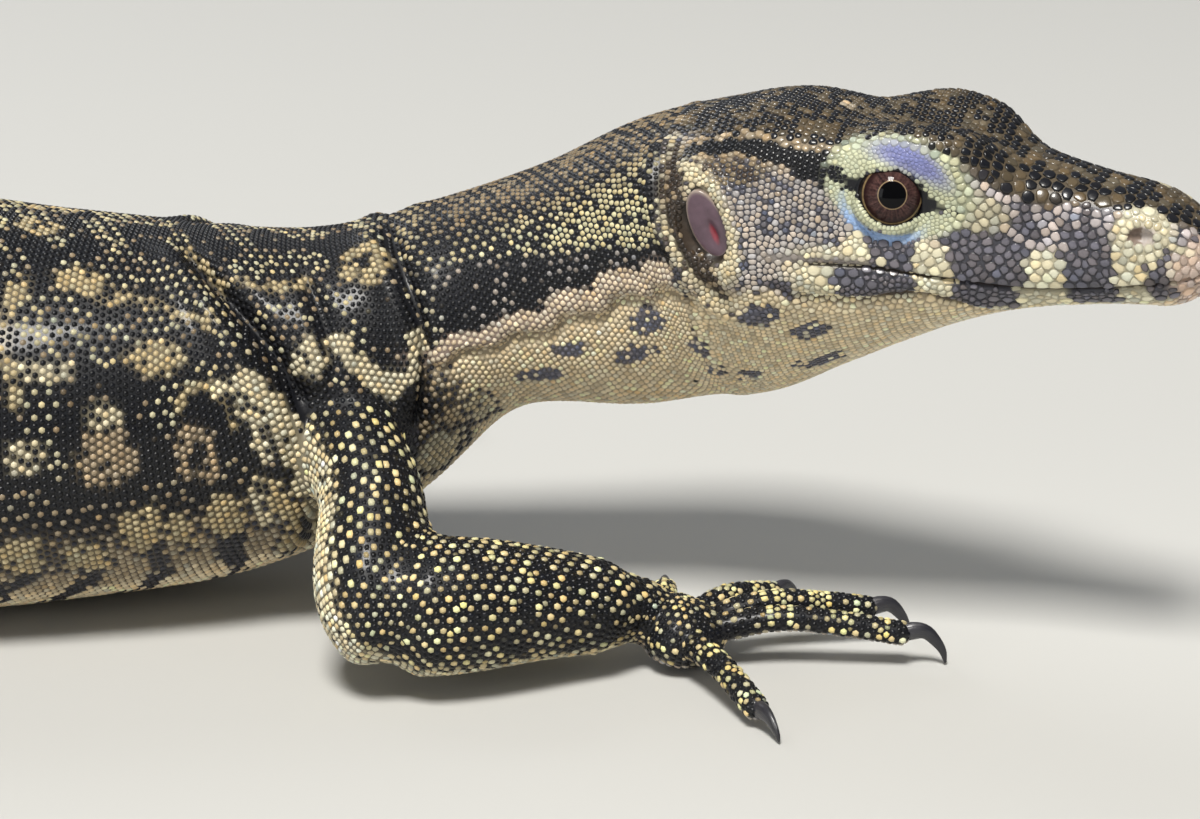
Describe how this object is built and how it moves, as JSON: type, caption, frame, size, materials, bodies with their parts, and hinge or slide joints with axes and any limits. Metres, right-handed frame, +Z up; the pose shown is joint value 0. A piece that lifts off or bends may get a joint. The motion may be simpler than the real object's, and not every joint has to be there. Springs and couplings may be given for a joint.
{
  "type": "water monitor lizard",
  "caption": "Life-size still model of a young water monitor lizard lying on its belly, neck raised and head turned, right arm forward, tail in a gentle curve.",
  "frame": {"origin": "on the floor, under the middle of the box round the whole animal", "axes": "+X the way the animal faces, +Y its left, +Z up from the floor"},
  "size_m": [0.9354, 0.226, 0.0812],
  "materials": {
    "scaled_skin": "satin",
    "pale_skin": "satin",
    "crown": "satin",
    "eye": "glossy",
    "ear": "satin",
    "claw": "glossy"
  },
  "bodies": {
    "root": {"head": "crown", "jaw": "pale_skin", "eye_left": "eye", "eye_right": "eye", "ear_left": "ear", "ear_right": "ear", "neck": "scaled_skin", "chest": "scaled_skin", "belly": "scaled_skin", "hips": "scaled_skin", "tail_1": "scaled_skin", "tail_2": "scaled_skin", "tail_3": "scaled_skin", "tail_4": "scaled_skin", "arm_right_upper": "scaled_skin", "arm_right_lower": "scaled_skin", "arm_right_hand": "scaled_skin", "arm_right_claw_1": "claw", "arm_right_claw_2": "claw", "arm_right_claw_3": "claw", "arm_right_claw_4": "claw", "arm_right_claw_5": "claw", "arm_left_upper": "scaled_skin", "arm_left_lower": "scaled_skin", "arm_left_hand": "scaled_skin", "arm_left_claw_1": "claw", "arm_left_claw_2": "claw", "arm_left_claw_3": "claw", "arm_left_claw_4": "claw", "arm_left_claw_5": "claw", "leg_right_upper": "scaled_skin", "leg_right_lower": "scaled_skin", "leg_right_foot": "scaled_skin", "leg_right_claw_1": "claw", "leg_right_claw_2": "claw", "leg_right_claw_3": "claw", "leg_right_claw_4": "claw", "leg_right_claw_5": "claw", "leg_left_upper": "scaled_skin", "leg_left_lower": "scaled_skin", "leg_left_foot": "scaled_skin", "leg_left_claw_1": "claw", "leg_left_claw_2": "claw", "leg_left_claw_3": "claw", "leg_left_claw_4": "claw", "leg_left_claw_5": "claw"}
  },
  "joints": []
}
